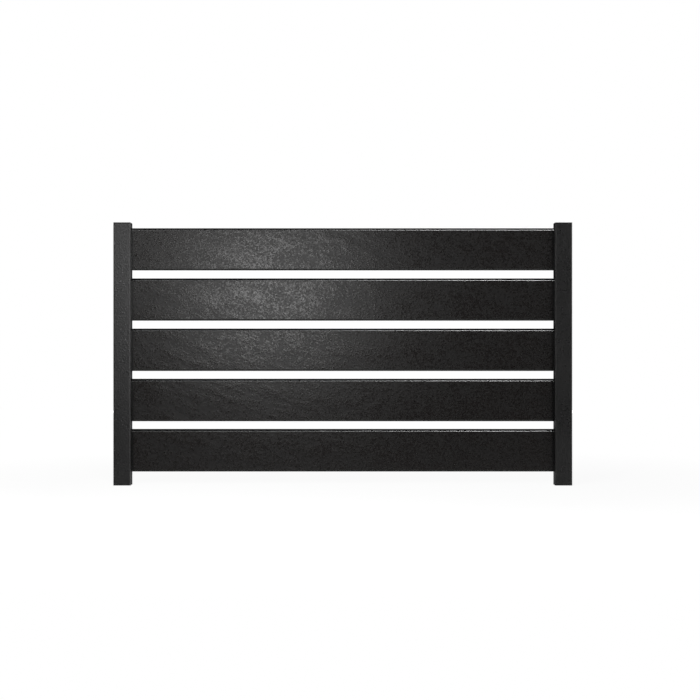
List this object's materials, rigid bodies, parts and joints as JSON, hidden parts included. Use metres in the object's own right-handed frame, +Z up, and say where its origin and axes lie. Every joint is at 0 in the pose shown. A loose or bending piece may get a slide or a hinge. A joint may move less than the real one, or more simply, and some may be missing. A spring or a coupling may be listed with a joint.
{
  "type": "composite fence bay",
  "caption": "Low fence bay of wide black composite boards with even gaps, slid into the slots of square aluminium posts with flush caps.",
  "frame": {"origin": "on the ground, midway between the two posts and in the middle of their depth", "axes": "+X along the fence towards the right post, +Y to the back, away from the bevelled front, +Z up"},
  "size_m": [1.87, 0.07, 1.072],
  "materials": {
    "board": "satin",
    "post": "satin",
    "cover": "satin",
    "cap": "satin",
    "block": "matte",
    "gasket": "matte",
    "screw": "satin"
  },
  "bodies": {
    "root": {"board_1": "board", "board_2": "board", "board_3": "board", "board_4": "board", "board_5": "board", "left_post": "post", "left_post_cap": "cap", "left_board_rest": "block", "left_top_retainer": "block", "left_slot_cover": "cover", "left_front_gasket": "gasket", "left_rear_gasket": "gasket", "left_gap_spacer_1": "block", "left_gap_spacer_2": "block", "left_gap_spacer_3": "block", "left_gap_spacer_4": "block", "right_post": "post", "right_post_cap": "cap", "right_board_rest": "block", "right_top_retainer": "block", "right_slot_cover": "cover", "right_front_gasket": "gasket", "right_rear_gasket": "gasket", "right_gap_spacer_1": "block", "right_gap_spacer_2": "block", "right_gap_spacer_3": "block", "right_gap_spacer_4": "block", "retaining_screws": "screw"}
  },
  "joints": []
}
